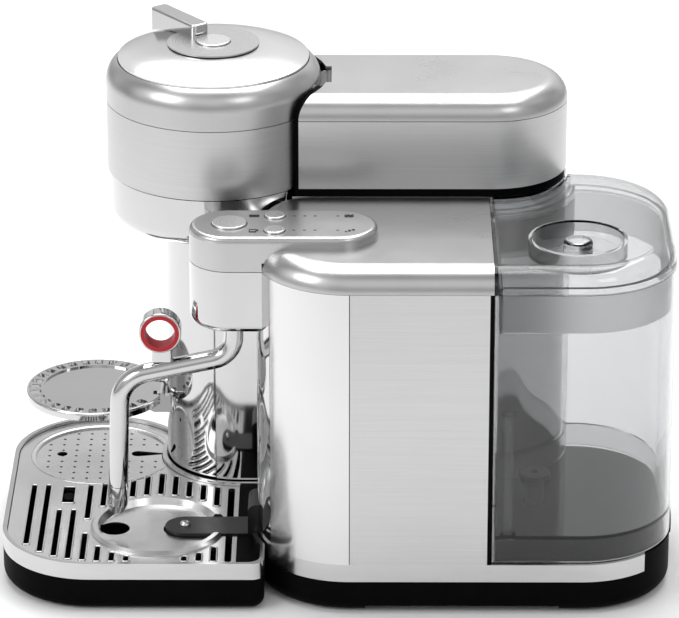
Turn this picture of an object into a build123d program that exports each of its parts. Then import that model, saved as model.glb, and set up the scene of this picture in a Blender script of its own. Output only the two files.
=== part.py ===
from build123d import *
import math
import os

# A pod coffee machine with a steam side. Millimetres, +Z up, front faces -Y.
# The origin is the middle of the footprint, on the table. The brew column, its arm and its
# round head stand on the -X half, the steam side on the +X half, and the tank across the back.

# Heights
BASE_BOTTOM = 1.2
BASE_EDGE = 8.0
BAND_BOTTOM = 22.2
BAND_TOP = 34.0
WALL_TOP = 217.0
DECK_TOP = 232.3
ARM_BOTTOM = 237.5
ARM_SEAM = 283.0
ARM_TOP = 297.5
COWL_BOTTOM = 203.4
COWL_TOP = 236.0
LID_EDGE_Z = 310.7
HUB_Z = 318.8
LEVER_TOP = 327.6

# Plans
BREW_X = -54.0
BREW_HALF = 49.0
BREW_FRONT_Y = -62.5
BREW_REAR_Y = 99.5
BODY_X = 64.5
BODY_HALF = 58.5
BODY_FRONT_Y = 8.6
BODY_REAR_Y = 97.4
TANK_REAR_Y = 213.0
TANK_FAR_X = -56.5
TANK_CORNER = 58.5
HEAD_Y = -78.7
HEAD_R = 69.0
CUP_X = -51.0
CUP_Y = -155.0
TRAY_CORNER = 58.0
TRAY_NEAR_X = 120.0
TRAY_REAR_Y = -45.0
TRAY_REAR_CORNER = 8.0
STEAM_X = 60.5
STEAM_HALF = 25.5
STEAM_FRONT_Y = -66.0
STEAM_REAR_Y = 1.0

# Walls and clearances
WALL = 2.0
SEAM = 0.4
TRIM_WALL = 2.4
MOVE_GAP = 1.2
PIN_FIT = 0.05
DECK_EDGE = 16.0
ARM_EDGE = 14.0
HEAD_CUT = 4.6
GASKET_WALL = 2.1


def disc(x, y, radius):
    return Pos(x, y) * Circle(radius)


def rect(x0, y0, x1, y1):
    return Pos((x0 + x1) / 2, (y0 + y1) / 2) * Rectangle(x1 - x0, y1 - y0)


def prism(plan, z0, z1):
    return extrude(Pos(0, 0, z0) * plan, z1 - z0)


def post(x, y, radius, z0, z1):
    return prism(disc(x, y, radius), z0, z1)


def block(x0, y0, z0, x1, y1, z1):
    return prism(rect(x0, y0, x1, y1), z0, z1)


def rod(y, z, radius, x0, x1):
    """A round bar along X."""
    return Pos((x0 + x1) / 2, y, z) * Rot(0, 90, 0) * Cylinder(radius, x1 - x0)


def turned(x, y, *outline):
    """A solid of revolution about the upright axis at x, y, from (radius, height) points."""
    return Pos(x, y, 0) * revolve(Plane.XZ * Polygon(*outline, align=None), Axis.Z)


def top_round(solid, radius):
    return fillet(solid.edges().group_by(Axis.Z)[-1], radius)


def bottom_round(solid, radius):
    return fillet(solid.edges().group_by(Axis.Z)[0], radius)


def stadium(x, half, front_y, rear_y):
    return disc(x, front_y, half) + disc(x, rear_y, half) + rect(x - half, front_y, x + half, rear_y)


def brew_plan(inset):
    return stadium(BREW_X, BREW_HALF - inset, BREW_FRONT_Y, BREW_REAR_Y)


def body_plan(inset):
    half = BODY_HALF - inset
    straight = rect(BODY_X - half, BODY_FRONT_Y, BODY_X + half, BODY_REAR_Y - inset)
    return disc(BODY_X, BODY_FRONT_Y, half) + straight


def tank_plan(inset):
    """Two round rear corners, a flat front, and a front wall that hugs the brew column."""
    half = TANK_CORNER - inset
    near_x = BODY_X + BODY_HALF - inset
    far_x = TANK_FAR_X + inset
    corner_y = TANK_REAR_Y - TANK_CORNER
    plan = disc(near_x - half, corner_y, half) + disc(far_x + half, corner_y, half)
    plan += rect(far_x + half, corner_y, near_x - half, TANK_REAR_Y - inset)
    plan += rect(far_x, BODY_REAR_Y, near_x, corner_y)
    plan -= rect(far_x, 0, near_x, BODY_REAR_Y + SEAM + inset)
    return plan - brew_plan(-MOVE_GAP - inset)


def base_plan(inset):
    plan = brew_plan(inset) + body_plan(inset)
    plan += rect(BREW_X, BREW_FRONT_Y + BREW_HALF, BODY_X, BREW_REAR_Y)
    half = TANK_CORNER - inset
    near_x = BODY_X + BODY_HALF - inset
    far_x = TANK_FAR_X + inset
    corner_y = TANK_REAR_Y - TANK_CORNER
    plan += disc(near_x - half, corner_y, half) + disc(far_x + half, corner_y, half)
    plan += rect(far_x + half, corner_y, near_x - half, TANK_REAR_Y - inset)
    return plan + rect(far_x, BODY_REAR_Y - inset - SEAM, near_x, corner_y)


def tray_plan(inset):
    radius = TRAY_CORNER - inset
    near_x = TRAY_NEAR_X - TRAY_CORNER
    rear_y = TRAY_REAR_Y - inset
    plan = disc(near_x, CUP_Y, radius) + disc(CUP_X, CUP_Y, radius)
    plan += rect(CUP_X, CUP_Y - radius, near_x, CUP_Y)
    corner = Pos(TRAY_NEAR_X - inset - TRAY_REAR_CORNER, rear_y - TRAY_REAR_CORNER)
    plan += corner * Circle(TRAY_REAR_CORNER)
    plan += rect(CUP_X, CUP_Y, TRAY_NEAR_X - inset, rear_y - TRAY_REAR_CORNER)
    plan += rect(CUP_X, CUP_Y, TRAY_NEAR_X - inset - TRAY_REAR_CORNER, rear_y)
    return plan - brew_plan(-MOVE_GAP - inset) - body_plan(-MOVE_GAP - inset)


# ---------------------------------------------------------------- base

CHASSIS_WALL = 3.0
UNDERSIDE_Z = 5.0
UNDERSIDE_FRONT = 18.5
UNDERSIDE_REAR = 141.0
FOOT_R = 11.0
FOOT_INSET = 1.0
FOOT_CENTRES = ((96.0, 4.0), (BREW_X, -84.0), (92.0, 158.0), (-22.0, 174.0))
TRIM_END_Y = 195.0
INLET_X = 20.0
INLET_Z = 17.0
INLET_R = 8.0
TANK_SEAT = 3.0
VALVE_X = 30.0
VALVE_Y = 128.0
VALVE_R = 7.0


def trim_ring(wall):
    """The bright band: it wraps the steam side and ends on the rear corner."""
    ring = prism(base_plan(0) - base_plan(wall), BAND_BOTTOM, BAND_TOP)
    rear_x = BODY_X + BODY_HALF + 1
    return ring & block(BODY_X - BODY_HALF, -BODY_HALF, BAND_BOTTOM, rear_x, TRIM_END_Y, BAND_TOP)


def base_trim():
    return trim_ring(TRIM_WALL)


def base_chassis():
    outer = bottom_round(prism(base_plan(0), BASE_BOTTOM, BAND_TOP), BASE_EDGE)
    hollow = prism(base_plan(CHASSIS_WALL + TRIM_WALL), UNDERSIDE_Z + CHASSIS_WALL, BAND_TOP)
    hollow -= prism(tank_plan(-MOVE_GAP), BAND_TOP - TANK_SEAT, BAND_TOP)
    shell = outer - hollow - trim_ring(TRIM_WALL)
    shell -= block(-200, UNDERSIDE_FRONT, 0, 200, UNDERSIDE_REAR, UNDERSIDE_Z)
    for x, y in FOOT_CENTRES:
        shell -= post(x, y, FOOT_R, 0, BASE_BOTTOM + FOOT_INSET)
    shell -= Pos(INLET_X, TANK_REAR_Y, INLET_Z) * Rot(90, 0, 0) * Cylinder(INLET_R, 4 * CHASSIS_WALL)
    return shell - post(VALVE_X, VALVE_Y, VALVE_R + SEAM, BAND_TOP - 2 * TANK_SEAT, BAND_TOP)


def feet():
    pads = [post(x, y, FOOT_R, 0, BASE_BOTTOM + FOOT_INSET) for x, y in FOOT_CENTRES]
    return Compound(children=[pad.solid() for pad in pads])


def power_inlet():
    """A strain relief gland for the mains lead, at the back of the base."""
    turn = Pos(INLET_X, TANK_REAR_Y, INLET_Z) * Rot(90, 0, 0)
    barrel = Pos(0, 0, 3.0) * Cylinder(INLET_R, 14.0)
    flange = Pos(0, 0, -1.0) * Cylinder(INLET_R + 2.0, 2.0)
    return turn * (barrel + flange - Cylinder(3.4, 60.0))


# ---------------------------------------------------------------- steam side body

PANEL_SEAM_Y = BODY_FRONT_Y + 0.3
CORNER_ANGLE = 58.1
BACK_SEAM_Y = 30.0
HOSE_Z = 209.0
HOSE_R = 3.0
LOBE_X = 19.0
LOBE_R = 36.4
HEAD_TO_DECK = 1.6


def body_wall():
    return prism(body_plan(0) - body_plan(WALL), BAND_TOP, WALL_TOP - SEAM / 2)


def body_sector(start, end):
    """A tall wedge about the front centre, between two compass angles in degrees."""
    reach = 2.5 * BODY_HALF
    half_seam = math.degrees(SEAM / 2 / BODY_HALF)
    angles = [start + half_seam, (start + end) / 2, end - half_seam]
    points = [(reach * math.cos(math.radians(a)), reach * math.sin(math.radians(a))) for a in angles]
    return Pos(BODY_X, BODY_FRONT_Y) * prism(Polygon((0, 0), *points, align=None), 0, DECK_TOP)


def side_panel():
    near_x = BODY_X + BODY_HALF
    return body_wall() & block(BODY_X, PANEL_SEAM_Y, 0, near_x, BODY_REAR_Y - WALL - SEAM, DECK_TOP)


def corner_cover():
    return body_wall() & body_sector(-CORNER_ANGLE, 0)


def front_cover():
    far_x = BODY_X - BODY_HALF
    side = block(far_x, BODY_FRONT_Y - 2 * SEAM, 0, BODY_X, BACK_SEAM_Y, DECK_TOP)
    cover = body_wall() & (body_sector(-180, -CORNER_ANGLE) + side)
    hose_hole = Rot(90, 0, 0) * Cylinder(HOSE_R + SEAM, 8 * WALL)
    return cover - Pos(STEAM_X, BODY_FRONT_Y - BODY_HALF, HOSE_Z) * hose_hole


def back_housing():
    rear = block(-10, BACK_SEAM_Y + SEAM, 0, BODY_X, BODY_REAR_Y, DECK_TOP)
    rear += block(BODY_X - SEAM, BODY_REAR_Y - WALL, 0, 200, BODY_REAR_Y, DECK_TOP)
    return body_wall() & rear


def deck_shape(inset):
    """The steam side's top: round front corners, run on past its back and its brew side."""
    half = BODY_HALF - inset
    far = LOBE_R - inset
    lobe_y = BODY_FRONT_Y - BODY_HALF + LOBE_R
    run_on = BODY_REAR_Y + 2 * BODY_HALF
    plan = disc(BODY_X, BODY_FRONT_Y, half) + disc(LOBE_X, lobe_y, far)
    plan += rect(LOBE_X, BODY_FRONT_Y - half, BODY_X, run_on)
    plan += rect(LOBE_X - far, lobe_y, BODY_X, run_on)
    plan += rect(LOBE_X, BODY_FRONT_Y, BODY_X + half, run_on)
    return top_round(prism(plan, WALL_TOP - 2 * inset, DECK_TOP - inset), DECK_EDGE - inset - 0.8)


def deck_limits():
    brew_side = BREW_X + BREW_HALF + SEAM
    room = block(brew_side, -200, WALL_TOP, 200, BODY_REAR_Y, DECK_TOP)
    return room - post(BREW_X, HEAD_Y, HEAD_R + HEAD_TO_DECK, WALL_TOP, DECK_TOP)


def top_cover():
    return (deck_shape(0) - deck_shape(WALL)) & deck_limits()


# ---------------------------------------------------------------- brew column

CONTAINER_SEAM_Y = -78.6
CONTAINER_TOP = 195.2
COLLAR_TOP = 202.6
COLUMN_DECK_Z = 180.0
COLUMN_DECK_WALL = 3.0
MOTOR_Y = 22.0
MOTOR_R = 21.0
MOTOR_BOTTOM = 118.0
SHAFT_R = 4.0
MOTOR_SHAFT_R = 2.5
BEARING_R = 9.0


def column_housing():
    """The column's wall, closed over the container by a collar that stays when it slides out."""
    wall = prism(brew_plan(0) - brew_plan(WALL), BAND_TOP, DECK_TOP)
    wall -= block(-200, -200, 0, 200, CONTAINER_SEAM_Y + SEAM, CONTAINER_TOP + SEAM)
    return wall - post(BREW_X, HEAD_Y, HEAD_R + HEAD_TO_DECK, COLLAR_TOP, DECK_TOP)


def column_deck():
    """The shelf inside the column that carries the drive."""
    top = COLUMN_DECK_Z + COLUMN_DECK_WALL
    plate = prism(brew_plan(WALL + MOVE_GAP), COLUMN_DECK_Z, top)
    plate &= block(-200, CONTAINER_SEAM_Y + SEAM - 24.0, 0, 200, MOTOR_Y + 45.0, DECK_TOP)
    plate -= post(BREW_X, HEAD_Y, SHAFT_R + MOVE_GAP, COLUMN_DECK_Z, top)
    return plate - post(BREW_X, MOTOR_Y, MOTOR_SHAFT_R + 2.0, COLUMN_DECK_Z, top)


def drive_motor():
    can = post(BREW_X, MOTOR_Y, MOTOR_R, MOTOR_BOTTOM, COLUMN_DECK_Z)
    return can - post(BREW_X, MOTOR_Y, MOTOR_SHAFT_R + PIN_FIT, COLUMN_DECK_Z - 20, COLUMN_DECK_Z)


# ---------------------------------------------------------------- used capsule container

BUCKET_TOP = 150.0
BUCKET_REAR_Y = -12.0
BUCKET_HALF = 43.6
BUCKET_FLOOR = 2.4
CONTAINER_Z = BAND_TOP + 0.6


def container_front():
    wall = prism(brew_plan(0) - brew_plan(WALL), CONTAINER_Z, CONTAINER_TOP)
    return wall & block(-200, -200, 0, 200, CONTAINER_SEAM_Y, DECK_TOP)


def capsule_bucket():
    """The bucket behind the front, narrow enough to pass the column's seam."""
    left, right = BREW_X - BUCKET_HALF, BREW_X + BUCKET_HALF
    outer = brew_plan(WALL + SEAM) & rect(left, -200, right, BUCKET_REAR_Y)
    inner = brew_plan(2 * WALL + SEAM) & rect(left + WALL, -200, right - WALL, BUCKET_REAR_Y - WALL)
    return prism(outer, CONTAINER_Z, BUCKET_TOP) - prism(inner, CONTAINER_Z + BUCKET_FLOOR, BUCKET_TOP)


# ---------------------------------------------------------------- cup support

STAND_Y = -158.5
STAND_R = 45.8
STAND_Z = 75.5
STAND_T = 5.0
STAND_HINGE_Y = BREW_FRONT_Y - BREW_HALF - 4.2
STAND_HINGE_Z = STAND_Z + STAND_T / 2
STAND_PIN_R = 1.5
STAND_SLOTS = 28
STAND_SLOT_IN = 36.5
STAND_SLOT_W = 5.2
STAND_SLOT_OUT = 43.6
LUG_OUT = 13.0
LUG_IN = 8.0
LUG_R = 3.2
LUG_DROP = 2.0
SHELF_REACH = 8.0
SHELF_T = 8.0
SHELF_ROUND = 5.0
BRACKET_ROOT = 6.0
STAND_SOLID_ARC = 27.0


def cup_stand():
    plate = top_round(post(CUP_X, STAND_Y, STAND_R, STAND_Z, STAND_Z + STAND_T), 1.5)
    dish = post(CUP_X, STAND_Y, STAND_SLOT_IN - 1.5, STAND_Z + STAND_T - 1.0, STAND_Z + STAND_T)
    plate -= dish
    radius = (STAND_SLOT_IN + STAND_SLOT_OUT) / 2
    length = STAND_SLOT_OUT - STAND_SLOT_IN
    slot = Pos(radius, 0) * RectangleRounded(length, STAND_SLOT_W, 1.6)
    for index in range(STAND_SLOTS):
        angle = 360.0 * index / STAND_SLOTS
        if abs(angle - 90.0) > STAND_SOLID_ARC:
            plate -= prism(Pos(CUP_X, STAND_Y) * Rot(0, 0, angle) * slot, STAND_Z, STAND_Z + STAND_T)
    plate &= block(-200, -300, 0, 200, STAND_HINGE_Y, DECK_TOP)
    plate += rod(STAND_HINGE_Y, STAND_HINGE_Z, STAND_T / 2, CUP_X - LUG_IN + 0.4, CUP_X + LUG_IN - 0.4)
    for side in (-1, 1):
        inner = CUP_X + side * (LUG_IN - 0.4)
        outer = CUP_X + side * (LUG_OUT + 0.6)
        x0, x1 = min(inner, outer), max(inner, outer)
        plate -= block(x0, STAND_HINGE_Y - 4.5, 0, x1, 0, DECK_TOP)
    return plate - rod(STAND_HINGE_Y, STAND_HINGE_Z, STAND_PIN_R + PIN_FIT, -100, 0)


def stand_bracket():
    """Two lugs with their pin, and a shelf under the plate that stops it level."""
    column_face = BREW_FRONT_Y - BREW_HALF
    root_y = column_face + BRACKET_ROOT
    shelf = block(CUP_X - LUG_OUT, STAND_HINGE_Y - SHELF_REACH, STAND_Z - SHELF_T,
                  CUP_X + LUG_OUT, root_y, STAND_Z - SEAM)
    front_edge = shelf.edges().filter_by(Axis.X).group_by(Axis.Z)[0].group_by(Axis.Y)[0]
    shelf = fillet(front_edge, SHELF_ROUND)
    for side in (-1, 1):
        inner = CUP_X + side * LUG_IN
        outer = CUP_X + side * LUG_OUT
        x0, x1 = min(inner, outer), max(inner, outer)
        lug = rod(STAND_HINGE_Y, STAND_HINGE_Z, LUG_R, x0, x1)
        foot_z = STAND_Z - LUG_DROP
        lug += block(x0, STAND_HINGE_Y - LUG_R, foot_z, x1, STAND_HINGE_Y + LUG_R, STAND_HINGE_Z)
        lug += block(x0, STAND_HINGE_Y, foot_z, x1, root_y, STAND_HINGE_Z + 1)
        shelf += lug
    bracket = shelf - prism(brew_plan(0), 0, DECK_TOP)
    return bracket + rod(STAND_HINGE_Y, STAND_HINGE_Z, STAND_PIN_R, CUP_X - LUG_OUT, CUP_X + LUG_OUT)


# ---------------------------------------------------------------- arm

def arm_shape(inset, bottom):
    return top_round(prism(brew_plan(inset), bottom, ARM_TOP - inset), ARM_EDGE - inset)


def head_room(radius, bottom=COWL_TOP - 10.0):
    return post(BREW_X, HEAD_Y, radius, bottom, ARM_TOP + 20.0)


HINGE_Y = -4.0
HINGE_Z = 293.0
HINGE_PIN_R = 1.5
BARREL_R = 2.6
BARREL_HALF = 14.0
HINGE_LUG = 6.0
ARM_COVER_WALL = 1.6


def arm_panel():
    wall = prism(brew_plan(0) - brew_plan(WALL), ARM_BOTTOM, ARM_SEAM - SEAM / 2)
    return wall - head_room(HEAD_R + HEAD_CUT)


def arm_cover():
    shell = arm_shape(0, ARM_SEAM + SEAM / 2) - arm_shape(ARM_COVER_WALL, ARM_SEAM)
    shell -= head_room(HEAD_R + HEAD_CUT)
    reach = BARREL_HALF + MOVE_GAP
    return shell - block(BREW_X - reach, HINGE_Y - 10, ARM_SEAM, BREW_X + reach, HINGE_Y + 1, ARM_TOP)


def arm_gasket():
    """The black band under the arm and the curved wall that closes the arm's front."""
    outer = head_room(HEAD_R + HEAD_CUT, DECK_TOP)
    inner = head_room(HEAD_R + HEAD_CUT - GASKET_WALL, DECK_TOP)
    wall = (outer - inner) & arm_shape(0.5, DECK_TOP)
    wall &= block(-200, CONTAINER_SEAM_Y, 0, 200, 200, ARM_TOP)
    reach = BARREL_HALF + HINGE_LUG + 2 * MOVE_GAP
    wall -= block(BREW_X - reach, -100, HINGE_Z - 7, BREW_X + reach, 100, ARM_TOP)
    plan = brew_plan(1.2) - brew_plan(1.2 + 3 * WALL)
    band = prism(plan, DECK_TOP, ARM_BOTTOM) - head_room(HEAD_R + HEAD_CUT - 0.5)
    return wall + band


def arm_hinge():
    """Two lugs inside the arm and the pin they hold for the head."""
    lugs = []
    for side in (-1, 1):
        inner = BREW_X + side * (BARREL_HALF + SEAM)
        outer = BREW_X + side * (BARREL_HALF + HINGE_LUG)
        x0, x1 = min(inner, outer), max(inner, outer)
        ear = rod(HINGE_Y, HINGE_Z, BARREL_R, x0, x1)
        ear += block(x0, HINGE_Y, HINGE_Z - 6, x1, HINGE_Y + 12, HINGE_Z + BARREL_R)
        lugs.append(ear)
    bar_x = BARREL_HALF + HINGE_LUG
    bar = block(BREW_X - bar_x, HINGE_Y + 8, HINGE_Z - 20, BREW_X + bar_x, HINGE_Y + 12, HINGE_Z - 6)
    bracket = lugs[0] + lugs[1] + bar
    bracket += block(BREW_X - bar_x, HINGE_Y + 8, HINGE_Z - 6.5, BREW_X + bar_x, HINGE_Y + 12, HINGE_Z - 3)
    return bracket + rod(HINGE_Y, HINGE_Z, HINGE_PIN_R, BREW_X - bar_x, BREW_X + bar_x)


# ---------------------------------------------------------------- fixed half of the brew head

COWL_TAPER = 1.6
SPOUT_Y = -132.0
SPOUT_R = 7.0
SPOUT_WALL = 2.1
BEARING_BOTTOM = 199.0
BEARING_TOP = 206.5
HOLDER_R = 30.5
HOLDER_FLANGE_R = 36.0
HOLDER_FLOOR_Z = 209.0
HOLDER_TOP = 233.5


def head_cowl():
    """The polished bowl under the head, with the bearing boss the capsule holder spins in."""
    low = HEAD_R - COWL_TAPER
    rim = HEAD_R - 1.0
    outer = turned(BREW_X, HEAD_Y, (0, COWL_BOTTOM), (low, COWL_BOTTOM), (rim, COWL_TOP), (0, COWL_TOP))
    outer = bottom_round(outer, 9.0)
    floor = COWL_BOTTOM + WALL
    inner = turned(BREW_X, HEAD_Y, (0, floor), (low - WALL, floor), (rim - WALL, COWL_TOP), (0, COWL_TOP))
    shell = outer - bottom_round(inner, 7.0)
    shell += post(BREW_X, HEAD_Y, BEARING_R, BEARING_BOTTOM, BEARING_TOP)
    shell -= post(BREW_X, HEAD_Y, SHAFT_R + PIN_FIT, BEARING_BOTTOM, BEARING_TOP)
    return shell - post(CUP_X, SPOUT_Y, SPOUT_R - SPOUT_WALL, COWL_BOTTOM, floor)


def coffee_spout():
    inner = SPOUT_R - SPOUT_WALL
    profile = ((2.5, 196.0), (4.2, 196.0), (SPOUT_R, COWL_BOTTOM), (inner, COWL_BOTTOM),
               (inner, COWL_BOTTOM + 5), (2.5, COWL_BOTTOM + 5))
    return turned(CUP_X, SPOUT_Y, *profile)


# ---------------------------------------------------------------- spinning drive

HOLDER_PULLEY_R = 24.0
MOTOR_PULLEY_R = 9.0
PULLEY_BOTTOM = 187.0
PULLEY_TOP = 195.0
BELT_GAP = 0.3
BELT_T = 1.6


def capsule_holder():
    profile = ((0, 184.5), (SHAFT_R, 184.5), (SHAFT_R, HOLDER_FLOOR_Z - 1), (HOLDER_R, HOLDER_FLOOR_Z),
               (HOLDER_R, HOLDER_TOP - 3), (HOLDER_FLANGE_R, HOLDER_TOP - 3),
               (HOLDER_FLANGE_R, HOLDER_TOP), (HOLDER_R - WALL, HOLDER_TOP),
               (HOLDER_R - WALL, HOLDER_FLOOR_Z + WALL), (0, HOLDER_FLOOR_Z + WALL))
    cup = turned(BREW_X, HEAD_Y, *profile)
    for index in range(6):
        notch = Rot(0, 0, 60 * index) * Pos(HOLDER_FLANGE_R, 0)
        cup -= prism(Pos(BREW_X, HEAD_Y) * notch * Circle(2.0), HOLDER_TOP - 3, HOLDER_TOP)
    return cup


def pulley(y, radius, bore):
    groove = BELT_T + BELT_GAP
    profile = ((bore, PULLEY_BOTTOM), (radius, PULLEY_BOTTOM), (radius, PULLEY_BOTTOM + 1),
               (radius - groove, PULLEY_BOTTOM + 1), (radius - groove, PULLEY_TOP - 1),
               (radius, PULLEY_TOP - 1), (radius, PULLEY_TOP), (bore, PULLEY_TOP))
    return turned(BREW_X, y, *profile)


def holder_pulley():
    return pulley(HEAD_Y, HOLDER_PULLEY_R, SHAFT_R)


def motor_pulley():
    """The small pulley with the shaft it is pressed on."""
    shaft = post(BREW_X, MOTOR_Y, MOTOR_SHAFT_R, COLUMN_DECK_Z - 18, PULLEY_TOP)
    return pulley(MOTOR_Y, MOTOR_PULLEY_R, MOTOR_SHAFT_R) + shaft


def belt_plan(large, small):
    """The outline around both pulleys: two circles and their outer tangents."""
    span = MOTOR_Y - HEAD_Y
    lean = math.asin((large - small) / span)
    x_large, y_large = large * math.cos(lean), HEAD_Y + large * math.sin(lean)
    x_small, y_small = small * math.cos(lean), MOTOR_Y + small * math.sin(lean)
    sides = Polygon((BREW_X - x_large, y_large), (BREW_X + x_large, y_large),
                    (BREW_X + x_small, y_small), (BREW_X - x_small, y_small), align=None)
    return disc(BREW_X, HEAD_Y, large) + disc(BREW_X, MOTOR_Y, small) + sides


def drive_belt():
    z0, z1 = PULLEY_BOTTOM + 1.4, PULLEY_TOP - 1.4
    loop = belt_plan(HOLDER_PULLEY_R, MOTOR_PULLEY_R)
    return prism(loop - belt_plan(HOLDER_PULLEY_R - BELT_T, MOTOR_PULLEY_R - BELT_T), z0, z1)


# ---------------------------------------------------------------- opening half of the brew head

LID_R = 61.7
HUB_R = 29.5
BUTTON_R = 11.0
BAND_Z0 = COWL_TOP + 0.9
SHOULDER_STEP = 1.2


def head_band():
    ring = post(BREW_X, HEAD_Y, HEAD_R, BAND_Z0, ARM_SEAM - SEAM / 2)
    return ring - post(BREW_X, HEAD_Y, HEAD_R - WALL, BAND_Z0, ARM_SEAM)


def shoulder_solid(inset):
    drum = post(BREW_X, HEAD_Y, HEAD_R - inset, ARM_SEAM + SEAM / 2, LID_EDGE_Z + SHOULDER_STEP - inset)
    return top_round(drum, HEAD_R - LID_R + 9.0 - inset)


def head_shoulder():
    """The satin shell between the brushed band and the lid."""
    shell = shoulder_solid(0) - shoulder_solid(WALL) - post(BREW_X, HEAD_Y, LID_R, 300, LEVER_TOP)
    half = BARREL_HALF + SEAM
    slot = block(BREW_X - half, HEAD_Y + 45, HINGE_Z - 2.2, BREW_X + half, HINGE_Y, HINGE_Z + 2.2)
    return shell - post(BREW_X, HEAD_Y, LID_R - 4.0, 280, LEVER_TOP) - slot


def dome(inset, lift):
    """The lid's gentle dome, from its rim up to the hub."""
    rim = LID_R - inset
    rise = HUB_Z - LID_EDGE_Z
    rim_point = (rim, LID_EDGE_Z + lift)
    mid = ((rim + HUB_R) / 2, LID_EDGE_Z + 0.62 * rise + lift)
    crown = (HUB_R, HUB_Z - 0.6 + lift)
    arc = ThreePointArc(rim_point, mid, crown)
    base_z = LID_EDGE_Z - 2.4
    edges = Polyline(crown, (0, HUB_Z - 0.6 + lift), (0, base_z), (rim, base_z), rim_point)
    face = make_face(Wire([*arc.edges(), *edges.edges()]))
    return Pos(BREW_X, HEAD_Y, 0) * revolve(Plane.XZ * face, Axis.Z)


def head_lid():
    lid = dome(SEAM, 0.0)
    return lid - post(BREW_X, HEAD_Y, BUTTON_R + 1.0, 300, LEVER_TOP)


NECK_R = 23.0
NECK_BORE = 20.0
TONGUE_IN = 45.0
TONGUE_HALF_T = 1.6
UPRIGHT_T = 4.0


def head_frame():
    """The structure under the lid, with the barrel that turns on the hinge pin."""
    plate = post(BREW_X, HEAD_Y, HEAD_R - WALL - SEAM / 2, ARM_SEAM - 4, ARM_SEAM - 1)
    plate -= post(BREW_X, HEAD_Y, NECK_BORE, 200, LEVER_TOP)
    neck = post(BREW_X, HEAD_Y, NECK_R, ARM_SEAM - 1, LID_EDGE_Z - 3)
    neck -= post(BREW_X, HEAD_Y, NECK_BORE, ARM_SEAM - 1, LID_EDGE_Z)
    far, near = BREW_X - BARREL_HALF, BREW_X + BARREL_HALF
    root_y = HEAD_Y + TONGUE_IN
    top = HINGE_Z + TONGUE_HALF_T
    tongue = block(far, root_y, HINGE_Z - TONGUE_HALF_T, near, HINGE_Y, top)
    tongue += block(far, root_y, ARM_SEAM - 2, near, root_y + UPRIGHT_T, top)
    barrel = rod(HINGE_Y, HINGE_Z, BARREL_R, BREW_X - BARREL_HALF, BREW_X + BARREL_HALF)
    frame = plate + neck + tongue + barrel
    return frame - rod(HINGE_Y, HINGE_Z, HINGE_PIN_R + PIN_FIT, -200, 200)


CLAMP_Z = COWL_TOP + 2.6
CLAMP_FACE_R = 26.0
CLAMP_R = 32.0
CLAMP_STEM_R = 12.0
CLAMP_BORE = 1.2
CLAMP_BEVEL_Z = CLAMP_Z + 5.4
CLAMP_BACK_Z = CLAMP_Z + 11.4
CLAMP_NECK_Z = CLAMP_Z + 15.4
CLAMP_TOP_Z = ARM_SEAM - 4.0


def clamp_plate():
    """Presses the capsule into the holder and pierces it."""
    profile = ((CLAMP_BORE, CLAMP_Z), (CLAMP_FACE_R, CLAMP_Z), (CLAMP_R, CLAMP_BEVEL_Z),
               (CLAMP_R, CLAMP_BACK_Z), (CLAMP_STEM_R, CLAMP_NECK_Z), (CLAMP_STEM_R, CLAMP_TOP_Z),
               (CLAMP_BORE, CLAMP_TOP_Z))
    return turned(BREW_X, HEAD_Y, *profile)


LEVER_IN = 13.0
LEVER_OUT = 62.0
LEVER_W = 12.7
LEVER_ANGLE = -90.0 - 53.0
LEVER_GAP = 0.5
HUB_T = 0.9
HUB_TUBE = 8.0
BUTTON_STEM_R = 4.0


def lever_hub():
    """The round plate that carries the lever and turns on the lid."""
    plate = post(BREW_X, HEAD_Y, HUB_R, HUB_Z, HUB_Z + HUB_T)
    tube = post(BREW_X, HEAD_Y, BUTTON_R + HUB_T, HUB_Z - HUB_TUBE, HUB_Z + HUB_T)
    return plate + tube - post(BREW_X, HEAD_Y, BUTTON_R + SEAM, HUB_Z - HUB_TUBE, LEVER_TOP)


def lock_lever():
    """A wedge bar: level on top, its skirts following the dome below."""
    length = LEVER_OUT - LEVER_IN
    plan = Pos((LEVER_IN + LEVER_OUT) / 2, 0) * RectangleRounded(length, LEVER_W, 3.0)
    bar = Pos(BREW_X, HEAD_Y) * Rot(0, 0, LEVER_ANGLE) * prism(plan, LID_EDGE_Z, LEVER_TOP)
    bar = top_round(bar, 1.5)
    bar -= dome(-1.0, LEVER_GAP)
    return bar - post(BREW_X, HEAD_Y, HUB_R, ARM_TOP, HUB_Z + HUB_T)


def brew_button():
    cap = top_round(post(BREW_X, HEAD_Y, BUTTON_R, HUB_Z - 4, HUB_Z + 2.2), 0.8)
    return cap + post(BREW_X, HEAD_Y, BUTTON_STEM_R, HUB_Z - 9, HUB_Z - 4)


# ---------------------------------------------------------------- steam head and its panel

STEAM_BOTTOM = 175.0
PANEL_Z = 236.0
PANEL_TOP = 239.6
BIG_BUTTON = (STEAM_X, -66.3, 11.0)
SMALL_BUTTONS = ((STEAM_X + 12.0, -38.0, 6.6), (STEAM_X - 13.0, -38.0, 6.6))
BUTTON_GAP = 0.4
BUTTON_RISE = 1.4
LIGHT_ROWS = (STEAM_X + 11.2, STEAM_X - 13.0)
LIGHT_YS = (-26.0, -19.4, -12.8, 1.3, 8.6)
LIGHT_R = 1.1
WAND_Y = -64.0
PIVOT_Z = 184.0
BALL_R = 10.0


def steam_plan(inset):
    return stadium(STEAM_X, STEAM_HALF - inset, STEAM_FRONT_Y, STEAM_REAR_Y)


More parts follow.
